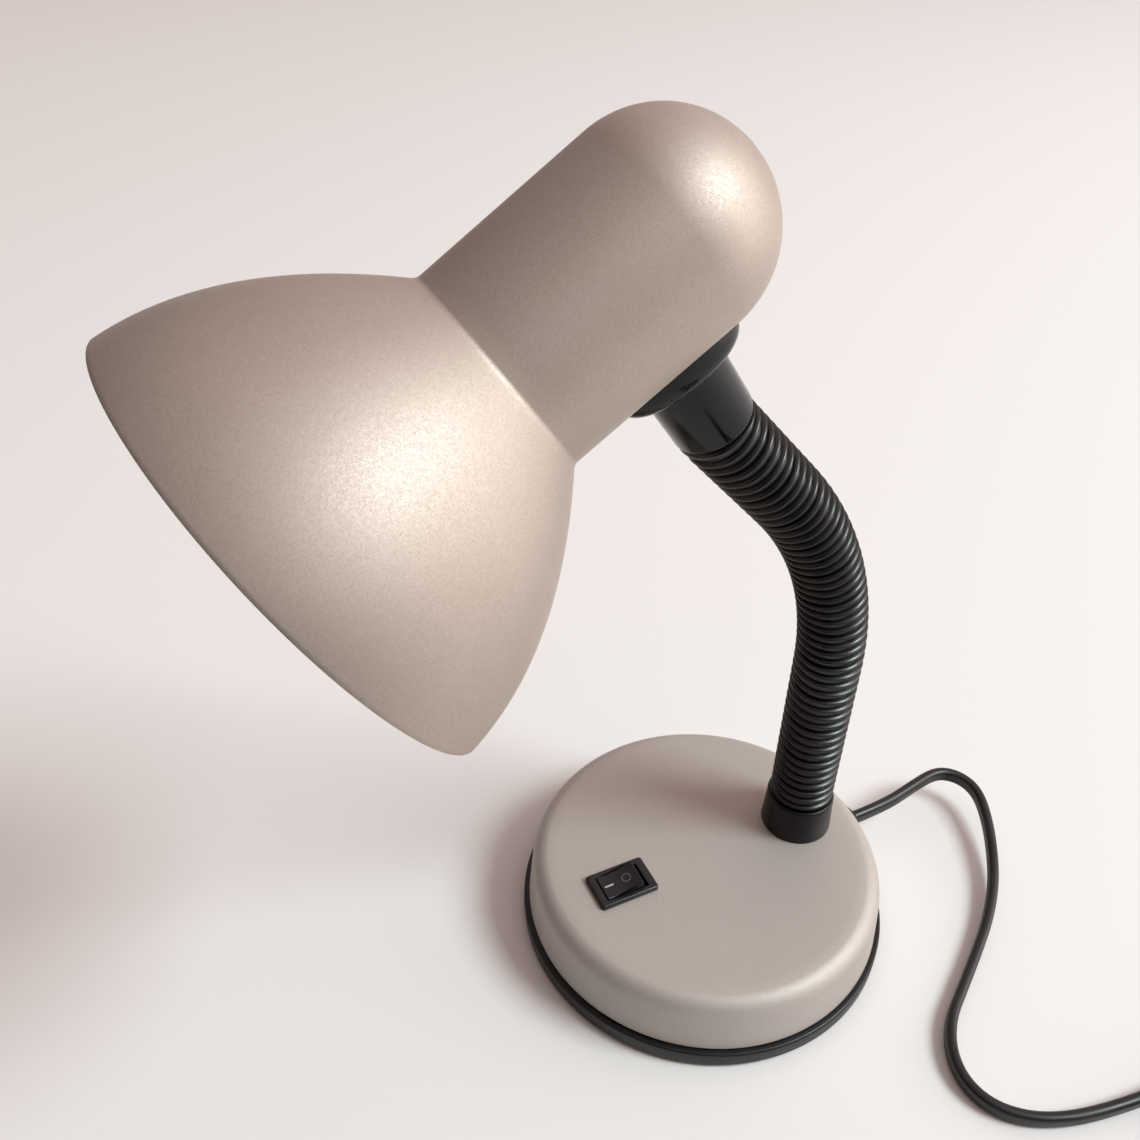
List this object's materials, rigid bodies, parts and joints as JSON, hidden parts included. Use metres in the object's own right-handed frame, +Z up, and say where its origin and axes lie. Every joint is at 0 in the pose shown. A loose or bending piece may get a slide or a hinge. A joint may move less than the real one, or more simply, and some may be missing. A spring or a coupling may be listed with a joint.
{
  "type": "table lamp",
  "caption": "Table lamp with a round weighted base, a rocker switch, a ribbed flexible neck and a bell shade on a saddle, with a flat two-core cord and plug.",
  "frame": {"origin": "middle of the base's underside, on the table top", "axes": "+Z up, -Y to the front where the switch is and the shade looks, +Y to the back where the neck and the cord are"},
  "size_m": [0.3127, 0.3562, 0.307],
  "materials": {
    "base_paint": "warm silver-grey satin metallic paint",
    "shade_paint": "champagne-silver satin metallic paint",
    "foot_rubber": "matt",
    "rim_plastic": "satin",
    "iron": "rough cast",
    "steel": "zinc plated",
    "spring_steel": "wound strip",
    "switch_plastic": "satin gloss",
    "sleeve_pvc": "satin",
    "black_gloss": "gloss",
    "cuff_plastic": "satin",
    "holder_plastic": "moulded",
    "contact_brass": "bare",
    "bulb_metal": "bare",
    "bulb_glass": "opal",
    "cord_pvc": "satin",
    "wire_pvc": "satin"
  },
  "bodies": {
    "base": {"base_pad": "foot_rubber", "base_plate": "rim_plastic", "base_cover": "base_paint", "base_screws": "steel", "ballast_weight": "iron", "switch_housing": "switch_plastic", "switch_terminals": "contact_brass", "sleeve_cuff": "cuff_plastic", "lower_fitting": "steel", "lower_washer": "steel", "lower_nut": "steel", "gooseneck_core": "spring_steel", "neck_lead": "cord_pvc", "sleeve_foot": "sleeve_pvc", "cord_bushing": "cord_pvc", "cord_inner": "cord_pvc", "cord_clamp": "cuff_plastic", "clamp_screws": "steel", "switch_wires": "wire_pvc", "neutral_wire": "wire_pvc", "cord_lead": "cord_pvc", "cord_coil": "cord_pvc", "cord_tail": "cord_pvc", "coil_tie": "cord_pvc", "plug_body": "cord_pvc", "plug_pins": "contact_brass"},
    "rocker": {"switch_rocker": "switch_plastic"},
    "link_01": {"sleeve_link_01": "sleeve_pvc"},
    "link_02": {"sleeve_link_02": "sleeve_pvc"},
    "link_03": {"sleeve_link_03": "sleeve_pvc"},
    "link_04": {"sleeve_link_04": "sleeve_pvc"},
    "link_05": {"sleeve_link_05": "sleeve_pvc"},
    "link_06": {"sleeve_link_06": "sleeve_pvc"},
    "link_07": {"sleeve_link_07": "sleeve_pvc"},
    "link_08": {"sleeve_link_08": "sleeve_pvc"},
    "link_09": {"sleeve_link_09": "sleeve_pvc"},
    "link_10": {"sleeve_link_10": "sleeve_pvc"},
    "link_11": {"sleeve_link_11": "sleeve_pvc"},
    "head": {"sleeve_top": "sleeve_pvc", "collar": "black_gloss", "saddle": "black_gloss", "upper_fitting": "steel", "upper_washer": "steel", "upper_nut": "steel", "shade": "shade_paint", "holder_bracket": "steel", "holder_nipple": "steel", "nipple_nut": "steel", "lampholder_cap": "holder_plastic", "lampholder_body": "holder_plastic", "contact_block": "holder_plastic", "screw_shell": "contact_brass", "centre_contact": "contact_brass", "holder_wires": "wire_pvc", "bulb_cap": "bulb_metal", "bulb_glass": "bulb_glass"}
  },
  "joints": [
    {"name": "rocker_tip", "type": "hinge", "parent": "base", "child": "rocker", "pos_m": [0, -0.036, 0.028], "axis": [-1, 0, 0], "range_deg": [0, 22]},
    {"name": "neck_low_01", "type": "hinge", "parent": "base", "child": "link_01", "pos_m": [0, 0.0408, 0.05772], "axis": [1, 0, 0], "range_deg": [-10, 6.5], "deforming": ["gooseneck_core", "neck_lead"]},
    {"name": "neck_sway_02", "type": "hinge", "parent": "link_01", "child": "link_02", "pos_m": [0, 0.0408, 0.07335], "axis": [0, 1, 0], "range_deg": [-10, 10], "deforming": ["gooseneck_core", "neck_lead"]},
    {"name": "neck_low_03", "type": "hinge", "parent": "link_02", "child": "link_03", "pos_m": [0, 0.0408, 0.08898], "axis": [1, 0, 0], "range_deg": [-10, 6.5], "deforming": ["gooseneck_core", "neck_lead"]},
    {"name": "neck_sway_04", "type": "hinge", "parent": "link_03", "child": "link_04", "pos_m": [0, 0.0408, 0.10461], "axis": [0, 1, 0], "range_deg": [-10, 10], "deforming": ["gooseneck_core", "neck_lead"]},
    {"name": "neck_low_05", "type": "hinge", "parent": "link_04", "child": "link_05", "pos_m": [0, 0.04051, 0.12024], "axis": [1, 0, 0], "range_deg": [-10, 6.5], "deforming": ["gooseneck_core", "neck_lead"]},
    {"name": "neck_sway_06", "type": "hinge", "parent": "link_05", "child": "link_06", "pos_m": [0, 0.03839, 0.13571], "axis": [0, 0.9796, 0.2009], "range_deg": [-10, 10], "deforming": ["gooseneck_core", "neck_lead"]},
    {"name": "neck_low_07", "type": "hinge", "parent": "link_06", "child": "link_07", "pos_m": [0, 0.03425, 0.15077], "axis": [1, 0, 0], "range_deg": [-10, 6.5], "deforming": ["gooseneck_core", "neck_lead"]},
    {"name": "neck_sway_08", "type": "hinge", "parent": "link_07", "child": "link_08", "pos_m": [0, 0.02815, 0.16515], "axis": [0, 0.8928, 0.4504], "range_deg": [-10, 10], "deforming": ["gooseneck_core", "neck_lead"]},
    {"name": "neck_high_09", "type": "hinge", "parent": "link_08", "child": "link_09", "pos_m": [0, 0.02021, 0.1786], "axis": [1, 0, 0], "range_deg": [-10, 6.5], "deforming": ["gooseneck_core", "neck_lead"]},
    {"name": "neck_sway_10", "type": "hinge", "parent": "link_09", "child": "link_10", "pos_m": [0, 0.01056, 0.19088], "axis": [0, 0.7437, 0.6685], "range_deg": [-10, 10], "deforming": ["gooseneck_core", "neck_lead"]},
    {"name": "neck_high_11", "type": "hinge", "parent": "link_10", "child": "link_11", "pos_m": [0, 0.0001, 0.2025], "axis": [1, 0, 0], "range_deg": [-10, 6.5], "deforming": ["gooseneck_core", "neck_lead"]},
    {"name": "neck_high_12", "type": "hinge", "parent": "link_11", "child": "head", "pos_m": [0, -0.01036, 0.21411], "axis": [1, 0, 0], "range_deg": [-10, 6.5], "deforming": ["gooseneck_core", "neck_lead"]}
  ],
  "couplings": [
    {"joint": "neck_low_03", "follows": "neck_low_01", "ratio": 1},
    {"joint": "neck_low_05", "follows": "neck_low_01", "ratio": 1},
    {"joint": "neck_low_07", "follows": "neck_low_01", "ratio": 1},
    {"joint": "neck_high_11", "follows": "neck_high_09", "ratio": 1},
    {"joint": "neck_high_12", "follows": "neck_high_09", "ratio": 1},
    {"joint": "neck_sway_04", "follows": "neck_sway_02", "ratio": 1},
    {"joint": "neck_sway_06", "follows": "neck_sway_02", "ratio": 1},
    {"joint": "neck_sway_08", "follows": "neck_sway_02", "ratio": 1},
    {"joint": "neck_sway_10", "follows": "neck_sway_02", "ratio": 1}
  ]
}
